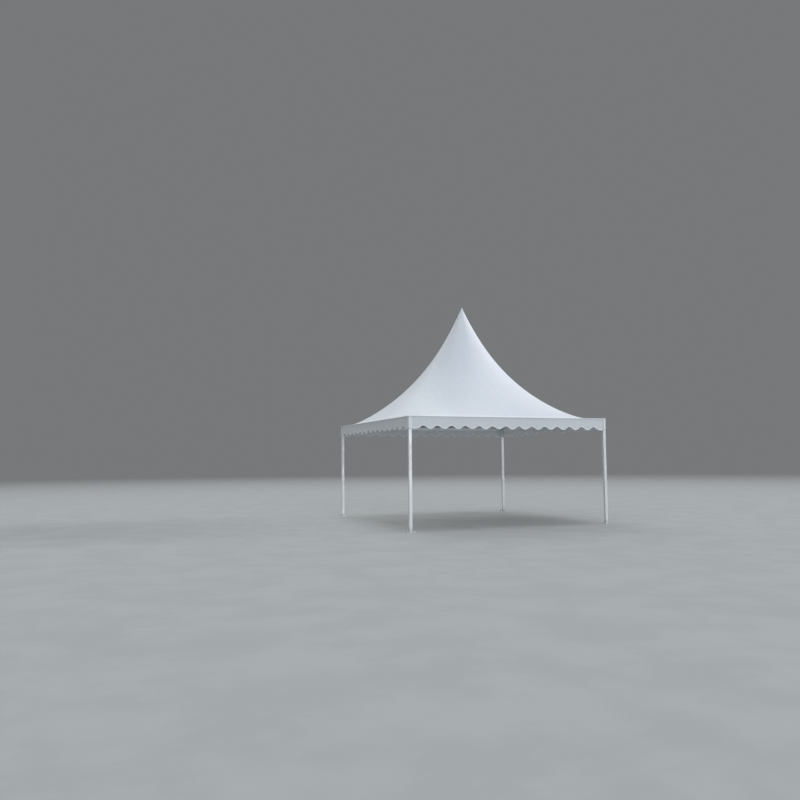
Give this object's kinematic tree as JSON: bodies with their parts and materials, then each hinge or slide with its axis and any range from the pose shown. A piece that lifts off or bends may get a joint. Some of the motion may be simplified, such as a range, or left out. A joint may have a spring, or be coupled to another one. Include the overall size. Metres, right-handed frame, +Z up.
{
  "type": "marquee tent",
  "caption": "Square pagoda marquee tent: aluminium legs and eave beams, high peaked white membrane roof on a floating mast with crossed cables, scalloped valance.",
  "frame": {"origin": "on the ground at the middle of the square frame", "axes": "+Z up, front towards -Y, right side towards +X"},
  "size_m": [5.104, 5.104, 5.445],
  "materials": {
    "membrane": "white coated polyester, satin",
    "aluminium": "mill finish extrusion, satin",
    "galvanised_steel": "hot dip galvanised, dull",
    "wire_rope": "galvanised strand"
  },
  "bodies": {
    "root": {"base_plate_front_left": "galvanised_steel", "base_plate_front_right": "galvanised_steel", "base_plate_back_right": "galvanised_steel", "base_plate_back_left": "galvanised_steel", "stake_a_front_left": "galvanised_steel", "stake_a_front_right": "galvanised_steel", "stake_a_back_right": "galvanised_steel", "stake_a_back_left": "galvanised_steel", "stake_b_front_left": "galvanised_steel", "stake_b_front_right": "galvanised_steel", "stake_b_back_right": "galvanised_steel", "stake_b_back_left": "galvanised_steel", "leg_front_left": "aluminium", "leg_front_right": "aluminium", "leg_back_right": "aluminium", "leg_back_left": "aluminium", "corner_bracket_front_left": "galvanised_steel", "corner_bracket_front_right": "galvanised_steel", "corner_bracket_back_right": "galvanised_steel", "corner_bracket_back_left": "galvanised_steel", "eave_beam_front": "aluminium", "eave_beam_right": "aluminium", "eave_beam_back": "aluminium", "eave_beam_left": "aluminium", "turnbuckle_front_left": "galvanised_steel", "turnbuckle_front_right": "galvanised_steel", "turnbuckle_back_right": "galvanised_steel", "turnbuckle_back_left": "galvanised_steel", "cable_front_left": "wire_rope", "cable_front_right": "wire_rope", "cable_back_right": "wire_rope", "cable_back_left": "wire_rope", "valance_front": "membrane", "valance_right": "membrane", "valance_back": "membrane", "valance_left": "membrane", "valance_corner_front_left": "membrane", "valance_corner_front_right": "membrane", "valance_corner_back_right": "membrane", "valance_corner_back_left": "membrane", "mast_foot": "galvanised_steel", "mast": "aluminium", "mast_head": "aluminium", "roof_membrane": "membrane", "peak_cap": "membrane"}
  },
  "joints": []
}
